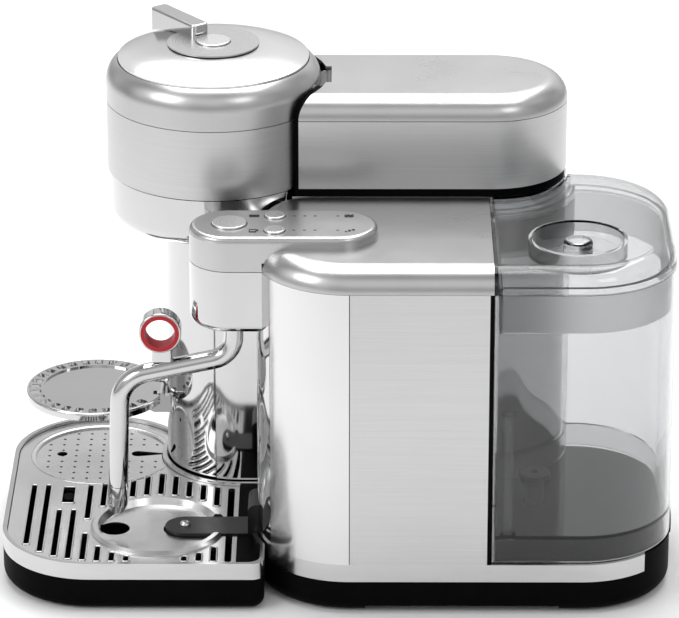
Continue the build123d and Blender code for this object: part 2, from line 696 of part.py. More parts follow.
def steam_head_shell():
    """The chrome pod over the jug, closed against the body's front."""
    outer = bottom_round(prism(steam_plan(0), STEAM_BOTTOM, WALL_TOP - SEAM / 2), 7.0)
    inner = bottom_round(prism(steam_plan(WALL), STEAM_BOTTOM + WALL, WALL_TOP), 5.0)
    shell = outer - inner - prism(body_plan(0), STEAM_BOTTOM, WALL_TOP)
    slot = stadium(STEAM_X, BALL_R - 1.5, WAND_Y - 9.0, WAND_Y + 1.5)
    return shell - prism(slot, STEAM_BOTTOM, STEAM_BOTTOM + WALL)


def steam_head_cover():
    outer = prism(steam_plan(0), WALL_TOP + SEAM / 2, PANEL_Z)
    inner = prism(steam_plan(WALL), WALL_TOP, PANEL_Z - WALL)
    return outer - inner - (deck_shape(0) + prism(body_plan(0), WALL_TOP - 1, WALL_TOP + 6))


def control_panel():
    plate = top_round(prism(steam_plan(0.3), PANEL_Z, PANEL_TOP), 3.2)
    for x, y, radius in (BIG_BUTTON, *SMALL_BUTTONS):
        plate -= post(x, y, radius + BUTTON_GAP, PANEL_Z, PANEL_TOP)
    for x in LIGHT_ROWS:
        for y in LIGHT_YS:
            plate -= post(x, y, LIGHT_R, PANEL_Z, PANEL_TOP)
    return plate


def panel_lights():
    lenses = []
    for x in LIGHT_ROWS:
        lenses += [post(x, y, LIGHT_R, PANEL_Z, PANEL_TOP).solid() for y in LIGHT_YS]
    return Compound(children=lenses)


def panel_button(x, y, radius):
    return top_round(post(x, y, radius, PANEL_Z + 1.0, PANEL_TOP + BUTTON_RISE), 0.7)


def steam_button():
    return panel_button(*BIG_BUTTON)


def texture_button():
    return panel_button(*SMALL_BUTTONS[0])


def temperature_button():
    return panel_button(*SMALL_BUTTONS[1])


PIVOT_R = 2.2
PIVOT_REACH = 2.4


def wand_socket():
    """The cup the wand's ball turns in."""
    width = BALL_R + 4.0
    cup = block(STEAM_X - width, WAND_Y - 8, PIVOT_Z, STEAM_X + width, WAND_Y + 8, WALL_TOP - 12)
    cup -= Pos(STEAM_X, WAND_Y, PIVOT_Z) * Sphere(BALL_R + PIN_FIT)
    reach = BALL_R + PIVOT_REACH + SEAM
    cup -= rod(WAND_Y, PIVOT_Z, PIVOT_R + PIN_FIT, STEAM_X - reach, STEAM_X + reach)
    for side in (-1, 1):
        x0 = STEAM_X + side * (BALL_R + 4.0)
        x1 = STEAM_X + side * (STEAM_HALF - WALL)
        cup += block(min(x0, x1), WAND_Y - 1, PIVOT_Z + 8, max(x0, x1), WAND_Y + 6, PIVOT_Z + 14)
    return cup


# ---------------------------------------------------------------- steam wand

PIPE_R = 6.2
PIPE_BORE = 4.2
KNEE_BEND = 16.0
ELBOW_BEND = 22.0
WAND_KNEE = (-64.6, 150.4)
WAND_ELBOW = (-136.2, 134.6)
WAND_SEAM = (-138.7, 60.8)
WAND_TIP = (-139.6, 42.5)
RING_Y = -110.4
RING_Z = 167.4
RING_OUT = 13.4
RING_IN = 12.1
RING_DEPTH = 12.0
LINER_T = 2.6


def wand_point(point):
    return (STEAM_X, point[0], point[1])


def steam_wand():
    """The bent pipe and the ball it hangs from."""
    start = (STEAM_X, WAND_Y, PIVOT_Z - BALL_R + 2.0)
    points = (start, wand_point(WAND_KNEE), wand_point(WAND_ELBOW), wand_point(WAND_SEAM))
    path = FilletPolyline(*points, radius=(KNEE_BEND, ELBOW_BEND))
    ring = Plane(origin=path @ 0, z_dir=path % 0) * (Circle(PIPE_R) - Circle(PIPE_BORE))
    ball = Pos(STEAM_X, WAND_Y, PIVOT_Z) * Sphere(BALL_R)
    ball -= post(STEAM_X, WAND_Y, 2 * BALL_R, 0, start[2])
    reach = BALL_R + PIVOT_REACH
    ball += rod(WAND_Y, PIVOT_Z, PIVOT_R, STEAM_X - reach, STEAM_X + reach)
    ball -= post(STEAM_X, WAND_Y, PIPE_BORE, 0, PIVOT_Z + 2 * BALL_R)
    return Compound(children=[sweep(ring, path).solid(), ball.solid()])


def wand_tip():
    lean = Plane(origin=wand_point(WAND_SEAM),
                 z_dir=(0, WAND_TIP[0] - WAND_SEAM[0], WAND_TIP[1] - WAND_SEAM[1]))
    length = math.hypot(WAND_TIP[0] - WAND_SEAM[0], WAND_TIP[1] - WAND_SEAM[1])
    body = Polygon((0, 0.2), (PIPE_R + 0.3, 0.2), (PIPE_R + 0.3, length - 5), (PIPE_R - 1.6, length),
                   (0, length), align=None)
    tip = revolve(Plane.XZ * body, Axis.Z)
    for index in range(4):
        hole = Rot(0, 0, 90 * index + 45) * Pos(2.6, 0, length - 3) * Cylinder(0.6, 7.0)
        tip -= hole
    return lean * tip


def handle_ring():
    ring = rod(RING_Y, RING_Z, RING_OUT, STEAM_X - RING_DEPTH / 2, STEAM_X + RING_DEPTH / 2)
    ring = fillet(ring.edges().filter_by(GeomType.CIRCLE), 1.2)
    ring -= rod(RING_Y, RING_Z, RING_IN, STEAM_X - RING_DEPTH, STEAM_X + RING_DEPTH)
    saddle = block(STEAM_X - 4.5, RING_Y - 5.5, RING_Z - 20, STEAM_X + 4.5, RING_Y + 7.5, RING_Z - 9)
    saddle = fillet(saddle.edges().filter_by(Axis.Z), 2.5)
    saddle -= rod(RING_Y, RING_Z, RING_IN, STEAM_X - RING_DEPTH, STEAM_X + RING_DEPTH)
    slope = math.atan2(WAND_KNEE[1] - WAND_ELBOW[1], WAND_KNEE[0] - WAND_ELBOW[0])
    run = RING_Y - WAND_ELBOW[0]
    seat = Pos(STEAM_X, RING_Y, WAND_ELBOW[1] + run * math.tan(slope))
    pipe = seat * Rot(90 + math.degrees(slope), 0, 0) * Cylinder(PIPE_R, 60.0)
    return ring + (saddle - pipe)


def ring_liner():
    half = RING_DEPTH / 2 + 0.4
    liner = rod(RING_Y, RING_Z, RING_IN, STEAM_X - half, STEAM_X + half)
    return liner - rod(RING_Y, RING_Z, RING_IN - LINER_T, STEAM_X - 2 * half, STEAM_X + 2 * half)


# ---------------------------------------------------------------- drip tray

TRAY_BOTTOM = 1.0
RIM_TOP = 33.2
RIM_WALL = 2.8
GRID_Z = 28.4
GRID_TOP = 31.0
TRAY_FLOOR = 3.0
GRID_REAR_Y = -62.5
SLOT_PITCH = 9.2
SLOT_W = 4.4
SLOT_END_R = 1.7
SLOT_FIRST_Y = -196.8
SLOT_ROWS = 15
DOT_R = 1.0
DOT_PITCH = 8.85
DOT_DISC_R = 44.0
DOT_FIELD_R = 42.0
DISC_Y = -113.7
DISC_R = 43.5
DISC_BORE = 38.0
DISC_TOP = 33.6
SENSOR_Y = -96.5
SENSOR_R = 3.5
ARM_HALF = 12.6
ARM_Z0 = 24.6
ARM_Z1 = 32.2
FLOAT_X0 = 0.8
FLOAT_X1 = 25.8
FLOAT_Y = -173.8
FLOAT_HALF = 4.3


def sensor_slot(margin):
    """The way out to the rear for the sensor arm."""
    half = ARM_HALF + margin
    return disc(STEAM_X, SENSOR_Y, half) + rect(STEAM_X - half, SENSOR_Y, STEAM_X + half, 0)


def drip_tray():
    outer = bottom_round(prism(tray_plan(0), TRAY_BOTTOM, BAND_BOTTOM), BASE_EDGE - 1)
    upper = prism(tray_plan(RIM_WALL), BAND_BOTTOM, GRID_Z)
    upper += prism(tray_plan(RIM_WALL) - rect(-200, -300, 200, GRID_REAR_Y), GRID_Z, GRID_TOP)
    hollow_z = TRAY_BOTTOM + TRAY_FLOOR
    hollow = prism(tray_plan(2 * RIM_WALL) & rect(-200, -300, 200, GRID_REAR_Y - 2), hollow_z, GRID_TOP)
    return outer + upper - hollow - prism(sensor_slot(MOVE_GAP), ARM_Z0 - MOVE_GAP, RIM_TOP)


def tray_rim():
    ring = prism(tray_plan(0) - tray_plan(RIM_WALL), BAND_BOTTOM, RIM_TOP)
    return ring - prism(sensor_slot(MOVE_GAP), ARM_Z0 - MOVE_GAP, RIM_TOP)


SLOT_FAR_X = -2.2
SLOT_DOTS_X = -20.0
DOTS_MARGIN = 3.0
DISC_MARGIN = 4.0
COLUMN_MARGIN = 6.5
NEAR_MARGIN = 9.0
NEAR_STRAIGHT = 1.4
FLOAT_MARGIN = 10.0


def half_chord(radius, offset):
    """Half the width of a circle at a distance from its middle, or nothing past its edge."""
    reach = radius ** 2 - offset ** 2
    return math.sqrt(reach) if reach > 0 else 0.0


def slot_span(y):
    """Where a slot may run at this row: its far end, its near end, and what the disc hides."""
    near = TRAY_NEAR_X - TRAY_CORNER + half_chord(TRAY_CORNER - NEAR_MARGIN, min(y - CUP_Y, 0))
    if y > CUP_Y:
        near += NEAR_STRAIGHT
    far = SLOT_FAR_X
    beside_dots = half_chord(DOT_DISC_R + DOTS_MARGIN, y - CUP_Y)
    if beside_dots and y > CUP_Y:
        far = max(CUP_X + beside_dots, SLOT_DOTS_X)
    beside_column = half_chord(BREW_HALF + MOVE_GAP + COLUMN_MARGIN, y - BREW_FRONT_Y)
    if beside_column and y > DISC_Y:
        far = BREW_X + beside_column
    return far, near, half_chord(DISC_R + DISC_MARGIN, y - DISC_Y)


def slot_spans():
    spans = []
    for row in range(SLOT_ROWS):
        y = SLOT_FIRST_Y + row * SLOT_PITCH
        far, near, hidden = slot_span(y)
        if abs(y - FLOAT_Y) < SLOT_PITCH:
            far = FLOAT_X1 + FLOAT_MARGIN
        if hidden > 0:
            spans += [(far, STEAM_X - hidden, y), (STEAM_X + hidden, near, y)]
        else:
            spans.append((far, near, y))
    return [span for span in spans if span[1] - span[0] > 1.5 * SLOT_W]


BORE_GAP = 0.6
KEY_X = -54.5
KEY_Y = -131.8
KEY_R = 4.2
KEY_END_R = 1.2
KEY_LENGTH = 15.5
KEY_MARGIN = 3.0


def beside_key(x, y):
    return abs(x - KEY_X) > KEY_R + KEY_MARGIN or y < KEY_Y - KEY_R - KEY_MARGIN


def dot_centres():
    reach = int(DOT_FIELD_R / DOT_PITCH)
    steps = range(-reach, reach + 1)
    spots = [(CUP_X + i * DOT_PITCH, CUP_Y + j * DOT_PITCH) for i in steps for j in steps]
    spots = [(x, y) for x, y in spots if math.hypot(x - CUP_X, y - CUP_Y) < DOT_FIELD_R]
    return [(x, y) for x, y in spots if beside_key(x, y)]


FINGER_X = CUP_X - 3.0
FINGER_Y = CUP_Y - 27.0
FINGER_R = 3.4


def key_slot():
    """A slot that narrows towards the column, where a hook lifts the grid."""
    return make_hull(Sketch([disc(KEY_X, KEY_Y, KEY_R),
                             disc(KEY_X, KEY_Y + KEY_LENGTH, KEY_END_R)]).edges())


def tray_grid():
    plan = tray_plan(RIM_WALL + SEAM) & rect(-200, -300, 200, GRID_REAR_Y - SEAM)
    plate = prism(plan, GRID_Z, GRID_TOP)
    plate -= post(CUP_X, CUP_Y, DOT_DISC_R, GRID_TOP - 1.0, GRID_TOP)
    cuts = Sketch() + [Pos((x0 + x1) / 2, y) * RectangleRounded(x1 - x0, SLOT_W, SLOT_END_R)
                       for x0, x1, y in slot_spans()]
    cuts += [disc(x, y, DOT_R) for x, y in dot_centres()]
    cuts += disc(FINGER_X, FINGER_Y, FINGER_R)
    float_x = (FLOAT_X0 + FLOAT_X1) / 2
    cuts += Pos(float_x, FLOAT_Y) * RectangleRounded(FLOAT_X1 - FLOAT_X0, 2 * FLOAT_HALF, SLOT_END_R)
    cuts += key_slot()
    cuts += disc(STEAM_X, DISC_Y, DISC_BORE + BORE_GAP)
    cuts += sensor_slot(MOVE_GAP)
    return plate - prism(cuts, GRID_Z, GRID_TOP)


DISC_LIP = 0.8
DISC_BEVEL = 1.8
DISC_SLOPE = 2.0
DISC_T = 1.2
DRAIN_BACK = 27.8
DRAIN_R = 9.5


def steam_disc():
    """A dished steel plate in the grid that stands the milk jug over the sensor."""
    profile = ((0, GRID_Z - SEAM), (DISC_BORE, GRID_Z - SEAM), (DISC_BORE, GRID_TOP), (DISC_R, GRID_TOP),
               (DISC_R, GRID_TOP + DISC_LIP), (DISC_R - DISC_BEVEL, DISC_TOP), (DISC_BORE + BORE_GAP, DISC_TOP),
               (DISC_BORE - DISC_SLOPE, GRID_Z + DISC_T), (0, GRID_Z + DISC_T))
    plate = turned(STEAM_X, DISC_Y, *profile)
    plate -= post(STEAM_X, DISC_Y - DRAIN_BACK, DRAIN_R, 0, RIM_TOP)
    return plate - prism(sensor_slot(MOVE_GAP), GRID_Z - 2, DISC_TOP)


RAFT_SIDE = 4.0
RAFT_HALF = 10.0
RAFT_Z = 14.0
RAFT_TOP = 21.0
TAB_LENGTH = 11.0
TAB_W = 6.4


def tray_float():
    """Rises through its slot when the tray is full."""
    float_x = (FLOAT_X0 + FLOAT_X1) / 2
    raft = block(FLOAT_X0 - RAFT_SIDE, FLOAT_Y - RAFT_HALF, RAFT_Z, FLOAT_X1 + RAFT_SIDE, FLOAT_Y + RAFT_HALF,
                 RAFT_TOP)
    tab = prism(Pos(float_x, FLOAT_Y) * SlotOverall(TAB_LENGTH, TAB_W), RAFT_TOP, GRID_TOP - BORE_GAP)
    return raft + tab


def sensor_arm():
    """Carries the jug sensor from the body's front out under the jug."""
    plan = disc(STEAM_X, SENSOR_Y, ARM_HALF) + rect(STEAM_X - ARM_HALF, SENSOR_Y, STEAM_X + ARM_HALF, 0)
    arm = prism(plan, ARM_Z0, ARM_Z1)
    lift = prism(rect(STEAM_X - ARM_HALF, -56.0, STEAM_X + ARM_HALF, 0), ARM_Z0, 52.0)
    lift = fillet(lift.edges().filter_by(Axis.X).group_by(Axis.Z)[-1].group_by(Axis.Y)[0], 5.0)
    arm = arm + lift - prism(base_plan(0), 0, BAND_TOP) - prism(body_plan(0), 0, WALL_TOP)
    return arm - post(STEAM_X, SENSOR_Y, SENSOR_R + PIN_FIT, 0, WALL_TOP)


def jug_sensor():
    cap = post(STEAM_X, SENSOR_Y, SENSOR_R, ARM_Z0 + 0.6, ARM_Z1 + 2.6)
    return top_round(cap, 2.2)


# ---------------------------------------------------------------- water tank

TANK_WALL = 2.4
TANK_BOTTOM = 36.0
TANK_FLOOR_Z = 53.5
TANK_TOP = 216.6
LID_WALL = 2.0
LID_FIT = 0.5
LID_EDGE = 13.0
LID_SKIRT = 191.0
RECESS_X = BODY_X
RECESS_Y = 151.0
RECESS_R = 31.0
RECESS_Z = 220.0
KNOB_R = 9.3
GUIDE_DEPTH = 9.0
GUIDE_Y0 = 103.0
GUIDE_Y1 = 112.5
GUIDE_TOP = 135.0


def water_tank():
    """A clear tub on a recessed floor, with the upright guide of the level float."""
    tub = prism(tank_plan(0), TANK_BOTTOM, TANK_TOP)
    tub -= prism(tank_plan(TANK_WALL), TANK_FLOOR_Z, TANK_TOP)
    tub -= prism(tank_plan(TANK_WALL), TANK_BOTTOM, TANK_FLOOR_Z - TANK_WALL)
    tub -= post(VALVE_X, VALVE_Y, VALVE_R - 1, TANK_BOTTOM, TANK_FLOOR_Z)
    x1 = BODY_X + BODY_HALF - TANK_WALL
    x0 = x1 - GUIDE_DEPTH
    rib = block(x0, GUIDE_Y0, TANK_FLOOR_Z, x1, GUIDE_Y1, GUIDE_TOP)
    rib -= block(x0 + WALL, GUIDE_Y0 + WALL, TANK_FLOOR_Z, x1 - WALL, GUIDE_Y1 - WALL, GUIDE_TOP)
    return tub + rib


def tank_valve():
    """A spring valve in the tank's floor that opens on its socket in the base."""
    stem = post(VALVE_X, VALVE_Y, VALVE_R - 1 - PIN_FIT, BAND_TOP - 2, TANK_FLOOR_Z + 3)
    stem += post(VALVE_X, VALVE_Y, VALVE_R + 3, TANK_FLOOR_Z, TANK_FLOOR_Z + 3)
    return stem - post(VALVE_X, VALVE_Y, 2.5, BAND_TOP - 2, TANK_FLOOR_Z + 3)


def lid_solid(inset, bottom):
    """The lid's form: the tank's outline with its outer top edges rounded."""
    half = TANK_CORNER - inset
    near_x = BODY_X + BODY_HALF - inset
    far_x = TANK_FAR_X + inset
    corner_y = TANK_REAR_Y - TANK_CORNER
    plan = disc(near_x - half, corner_y, half) + disc(far_x + half, corner_y, half)
    plan += rect(far_x + half, corner_y, near_x - half, TANK_REAR_Y - inset)
    plan += rect(far_x, -BODY_HALF, near_x, corner_y)
    top = DECK_TOP - inset
    return top_round(prism(plan, bottom, top), LID_EDGE - inset) & prism(tank_plan(inset), bottom, top)


def tank_lid():
    """A clear cap with a rounded edge, a skirt inside the tank, and a finger well."""
    shell = lid_solid(0, TANK_TOP + SEAM) - lid_solid(LID_WALL, TANK_TOP)
    skirt_in = TANK_WALL + LID_FIT
    skirt = prism(tank_plan(skirt_in) - tank_plan(skirt_in + LID_WALL), LID_SKIRT, TANK_TOP + 4)
    shell += skirt & prism(tank_plan(LID_WALL), LID_SKIRT, DECK_TOP)
    bridge = prism(tank_plan(LID_WALL - 0.1) - tank_plan(skirt_in + LID_WALL), TANK_TOP + SEAM, TANK_TOP + 4)
    well = post(RECESS_X, RECESS_Y, RECESS_R, RECESS_Z, DECK_TOP)
    well -= post(RECESS_X, RECESS_Y, RECESS_R - LID_WALL, RECESS_Z + LID_WALL, DECK_TOP)
    shell -= post(RECESS_X, RECESS_Y, RECESS_R - LID_WALL, RECESS_Z, DECK_TOP)
    knob = post(RECESS_X, RECESS_Y, KNOB_R, RECESS_Z, DECK_TOP - 1.5)
    return shell + bridge + well + top_round(knob, 2.5)


# ---------------------------------------------------------------- inside the body

PUMP_X = 86.0
PUMP_Y = 66.0
PUMP_Z = 62.0
PUMP_R = 13.0
PUMP_LENGTH = 34.0
PUMP_FRAME = 32.0
PUMP_FRAME_T = 22.0
STUB_R = 4.0
STUB_LENGTH = 52.0


def water_pump():
    """A vibration pump lying along Y, with its inlet and outlet stubs."""
    turn = Pos(PUMP_X, PUMP_Y, PUMP_Z) * Rot(90, 0, 0)
    frame = Box(PUMP_FRAME, PUMP_FRAME, PUMP_FRAME_T)
    return turn * (Cylinder(PUMP_R, PUMP_LENGTH) + frame + Cylinder(STUB_R, STUB_LENGTH))


STEAM_HEATER = (STEAM_X, 4.0, 27.0, 95.0, 160.0)
BREW_HEATER = (BREW_X, 88.0, 26.0, 70.0, 150.0)
GROOVES = 4
GROOVE_HALF = 1.5
GROOVE_DEPTH = 2.5
BOSS_HEIGHT = 8.0


def heater(x, y, radius, z0, z1):
    """A cast water heater with an element boss on top."""
    drum = post(x, y, radius, z0, z1)
    for index in range(GROOVES):
        z = z0 + (z1 - z0) * (index + 1) / (GROOVES + 1)
        groove = post(x, y, radius, z - GROOVE_HALF, z + GROOVE_HALF)
        drum -= groove - post(x, y, radius - GROOVE_DEPTH, z - GROOVE_HALF, z + GROOVE_HALF)
    return drum + post(x, y, radius / 3, z1, z1 + BOSS_HEIGHT)


def water_heaters():
    """One heater for steam, under the steam head, and one for coffee, in the column."""
    pair = (heater(*STEAM_HEATER), heater(*BREW_HEATER))
    return Compound(children=[each.solid() for each in pair])


BOARD_X = 98.0
BOARD_T = 1.6
BOARD_Y0 = 20.0
BOARD_Y1 = 92.0
BOARD_Z0 = 92.0
BOARD_Z1 = 205.0
CHIP_HEIGHT = 10.0
CHIP_Y0 = 34.0
CHIP_Y1 = 56.0
CHIP_W = 16.0
CHIP_ZS = (100.0, 132.0, 168.0)


def circuit_board():
    board = block(BOARD_X, BOARD_Y0, BOARD_Z0, BOARD_X + BOARD_T, BOARD_Y1, BOARD_Z1)
    for z in CHIP_ZS:
        board += block(BOARD_X - CHIP_HEIGHT, CHIP_Y0, z, BOARD_X, CHIP_Y1, z + CHIP_W)
    return board


HOSE_BEND = 9.0
HOSE_T = 1.2
TANK_ROUTE = ((VALVE_X, VALVE_Y, 24), (VALVE_X, VALVE_Y - 20, 14), (VALVE_X + 24, 82, 14), (62, 74, 44))
STEAM_ROUTE = ((STEAM_X, 4, 168), (STEAM_X, 4, 200), (STEAM_X, -30, HOSE_Z), (STEAM_X, -60, HOSE_Z))
BREW_ROUTE = ((BREW_X, 88, 158), (BREW_X, 88, 255), (BREW_X + 10, 20, 262))


def hose(*points):
    path = FilletPolyline(*points, radius=HOSE_BEND)
    section = Plane(origin=path @ 0, z_dir=path % 0) * (Circle(HOSE_R) - Circle(HOSE_R - HOSE_T))
    return sweep(section, path)


def water_hoses():
    """Tank to pump, steam heater to wand, coffee heater to head."""
    hoses = [hose(*route) for route in (TANK_ROUTE, STEAM_ROUTE, BREW_ROUTE)]
    return Compound(children=[each.solid() for each in hoses])


# ---------------------------------------------------------------- every piece, by name

PIECES = {
    "base_chassis": base_chassis, "rubber_feet": feet, "power_inlet": power_inlet,
    "base_trim": base_trim, "side_panel": side_panel, "corner_cover": corner_cover,
    "front_cover": front_cover, "back_housing": back_housing, "top_cover": top_cover,
    "column_housing": column_housing, "column_deck": column_deck, "drive_motor": drive_motor,
    "container_front": container_front, "capsule_bucket": capsule_bucket,
    "cup_stand": cup_stand, "stand_bracket": stand_bracket,
    "arm_gasket": arm_gasket, "arm_panel": arm_panel, "arm_cover": arm_cover, "arm_hinge": arm_hinge,
    "head_cowl": head_cowl, "coffee_spout": coffee_spout,
    "capsule_holder": capsule_holder, "holder_pulley": holder_pulley, "motor_pulley": motor_pulley,
    "drive_belt": drive_belt, "head_band": head_band, "head_shoulder": head_shoulder,
    "head_lid": head_lid, "head_frame": head_frame, "clamp_plate": clamp_plate,
    "lever_hub": lever_hub, "lock_lever": lock_lever, "brew_button": brew_button,
    "steam_head_shell": steam_head_shell, "steam_head_cover": steam_head_cover,
    "control_panel": control_panel, "panel_lights": panel_lights, "steam_button": steam_button,
    "texture_button": texture_button, "temperature_button": temperature_button,
    "wand_socket": wand_socket, "steam_wand": steam_wand, "wand_tip": wand_tip,
    "handle_ring": handle_ring, "ring_liner": ring_liner, "drip_tray": drip_tray,
    "tray_rim": tray_rim, "tray_grid": tray_grid, "steam_disc": steam_disc,
    "tray_float": tray_float, "sensor_arm": sensor_arm, "jug_sensor": jug_sensor,
    "water_tank": water_tank, "tank_lid": tank_lid, "tank_valve": tank_valve,
    "water_pump": water_pump, "water_heaters": water_heaters, "circuit_board": circuit_board,
    "water_hoses": water_hoses,
}

os.makedirs("parts", exist_ok=True)
for name, make in PIECES.items():
    export_step(make(), f"parts/{name}.step")
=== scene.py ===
import math

import bmesh
import bpy
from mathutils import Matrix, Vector


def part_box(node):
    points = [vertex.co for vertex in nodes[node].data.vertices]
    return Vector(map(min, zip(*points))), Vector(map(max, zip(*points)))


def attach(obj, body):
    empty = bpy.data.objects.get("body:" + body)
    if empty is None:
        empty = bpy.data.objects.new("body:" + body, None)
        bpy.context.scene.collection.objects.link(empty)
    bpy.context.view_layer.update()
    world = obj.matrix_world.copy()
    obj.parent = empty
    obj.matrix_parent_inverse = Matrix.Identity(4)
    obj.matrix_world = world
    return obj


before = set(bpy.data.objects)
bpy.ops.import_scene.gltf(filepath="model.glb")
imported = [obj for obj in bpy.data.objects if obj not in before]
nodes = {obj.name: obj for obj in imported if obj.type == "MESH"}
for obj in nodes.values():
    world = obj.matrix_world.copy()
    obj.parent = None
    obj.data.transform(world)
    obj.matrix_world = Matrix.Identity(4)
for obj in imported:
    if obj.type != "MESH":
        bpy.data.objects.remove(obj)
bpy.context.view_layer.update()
scene = bpy.context.scene

# The camera stands on the steam side, a little above the arm, far enough back that the
# machine's verticals stay upright.
EYE = (2.6511, 0.0096, 1.2588)
EYE_DOWN = math.radians(22.57)
EYE_TURN = math.radians(0.16)
EYE_LENS = 237.05
eye_data = bpy.data.cameras.new("eye")
eye_data.lens = EYE_LENS
eye = bpy.data.objects.new("eye", eye_data)
eye.location = EYE
eye.rotation_euler = (math.radians(90) - EYE_DOWN, 0, math.radians(90) + EYE_TURN)
scene.collection.objects.link(eye)
scene.camera = eye


# The floor is a sweep of white paper, matt and very slightly uneven, laid out flat under the
# machine and far past it on all sides.
class Wire:
    """One output of a node. Arithmetic on it adds Math nodes beside it."""

    def __init__(self, web, socket):
        self.web = web
        self.socket = socket

    def math(self, operation, first, second):
        return self.web.node("ShaderNodeMath", {"operation": operation}, {0: first, 1: second})

    def __add__(self, other):
        return self.math("ADD", self, other)

    def __radd__(self, other):
        return self.math("ADD", other, self)

    def __sub__(self, other):
        return self.math("SUBTRACT", self, other)

    def __rsub__(self, other):
        return self.math("SUBTRACT", other, self)

    def __mul__(self, other):
        return self.math("MULTIPLY", self, other)

    def __rmul__(self, other):
        return self.math("MULTIPLY", other, self)

    def __gt__(self, other):
        return self.math("GREATER_THAN", self, other)

    def __lt__(self, other):
        return self.math("LESS_THAN", self, other)


class Web:
    """The nodes of one finish, or of the room's light."""

    def __init__(self, tree, place):
        self.tree = tree
        self.place = self.node("ShaderNodeTexCoord", {}, {}, place)

    def set(self, node, values):
        for label, value in values.items():
            socket = node.inputs[label]
            if isinstance(value, Wire):
                self.tree.links.new(value.socket, socket)
            elif socket.type == "RGBA":
                socket.default_value = (*value, 1.0)
            else:
                socket.default_value = value

    def node(self, kind, settings, values, output=0):
        made = self.tree.nodes.new(kind)
        for key, value in settings.items():
            if key == "stops":
                self.stops(made.color_ramp.elements, value)
            else:
                setattr(made, key, value)
        self.set(made, values)
        return Wire(self, made.outputs[output])

    def stops(self, elements, stops):
        while len(elements) < len(stops):
            elements.new(1.0)
        for element, (position, grey) in zip(elements, stops):
            element.position = position
            element.color = (grey, grey, grey, 1)

    def grain(self, scale, detail=3.0, roughness=0.6):
        """Noise from 0 to 1, with its own scale per metre along X, Y and Z."""
        place = self.node("ShaderNodeMapping", {}, {"Vector": self.place, "Scale": scale})
        values = {"Vector": place, "Scale": 1.0, "Detail": detail, "Roughness": roughness}
        return self.node("ShaderNodeTexNoise", {}, values, "Fac")

    def along(self, axis):
        return self.node("ShaderNodeSeparateXYZ", {}, {"Vector": self.place}, axis)

    def tone(self, amount, low, high):
        """Colour that runs between two greys or two colours."""
        low, high = (c if isinstance(c, tuple) else (c, c, c * 1.004) for c in (low, high))
        return self.node("ShaderNodeMixRGB", {}, {"Fac": amount, "Color1": low, "Color2": high})


class Finish(Web):
    """A surface finish. Even values sit on the shader itself and uneven ones are wired to it."""

    def __init__(self, name, **even):
        self.material = bpy.data.materials.new(name)
        self.material.use_nodes = True
        super().__init__(self.material.node_tree, "Object")
        self.shader = self.tree.nodes["Principled BSDF"]
        self.wire(**even)

    def wire(self, **values):
        self.set(self.shader, {label.replace("_", " "): value for label, value in values.items()})

    def relief(self, height, strength, distance):
        values = {"Height": height, "Strength": strength, "Distance": distance}
        self.wire(Normal=self.node("ShaderNodeBump", {}, values))

    def put_on(self, *names):
        for name in names:
            for slot in nodes[name].material_slots:
                slot.material = self.material


SWEEP_HALF = 9.0
SWEEP_TURNS = ((-1, -1), (1, -1), (1, 1), (-1, 1))
sweep_mesh = bpy.data.meshes.new("sweep")
sweep_corners = [(x * SWEEP_HALF, y * SWEEP_HALF, 0) for x, y in SWEEP_TURNS]
sweep_mesh.from_pydata(sweep_corners, [], [(0, 1, 2, 3)])
sweep = bpy.data.objects.new("sweep", sweep_mesh)
scene.collection.objects.link(sweep)
paper = Finish("sweep_paper", Roughness=0.9)
paper.wire(Base_Color=paper.tone(paper.grain((3, 3, 3)), 0.9, 0.93))
sweep_mesh.materials.append(paper.material)


# Three soft boxes light the machine: a wide one overhead, one at the front left that fills the
# rounded corners, and a weak one at the right.
def soft_box(name, place, aim, width, depth, watts):
    lamp = bpy.data.lights.new(name, "AREA")
    lamp.shape = "RECTANGLE"
    lamp.size, lamp.size_y, lamp.energy = width, depth, watts
    box = bpy.data.objects.new(name, lamp)
    box.location = place
    box.rotation_euler = (Vector(aim) - Vector(place)).to_track_quat("-Z", "Y").to_euler()
    scene.collection.objects.link(box)


soft_box("overhead_box", (-0.55, 0.0, 1.35), (-0.5, 0, 0), 1.3, 1.6, 25)
soft_box("left_box", (1.0, -1.5, 1.2), (0.4, -0.5, 0), 0.9, 0.9, 9)
soft_box("right_box", (1.7, 1.1, 1.6), (0.3, 0.3, 0), 0.8, 0.8, 4)

# The room is pale, darker toward its ceiling. Tall grey flags stand round it, which gives the
# polished pieces their darker edges.
ROOM_STOPS = ((0.0, 0.7), (0.3, 0.95), (0.6, 0.9), (1.0, 0.25))
FLAG_SCALE = 2.2
FLAG_STAND = 0.25
FLAG_DARK = 0.45
FLAG_CORE = 0.35
FLAG_EDGE = 0.6
room = bpy.data.worlds.new("room")
room.use_nodes = True
room_web = Web(room.node_tree, "Generated")
room_glow = room_web.node("ShaderNodeValToRGB", {"stops": ROOM_STOPS}, {"Fac": room_web.along("Z")})
flags = room_web.grain((FLAG_SCALE, FLAG_SCALE, FLAG_SCALE * FLAG_STAND), 0.0)
flag_range = {"From Min": FLAG_CORE, "From Max": FLAG_EDGE, "To Min": FLAG_DARK, "To Max": 1.0}
room_shade = room_web.node("ShaderNodeMapRange", {}, {"Value": flags, **flag_range})
room_web.set(room.node_tree.nodes["Background"], {"Color": room_glow * room_shade})
scene.world = room
scene.view_settings.view_transform = "Standard"

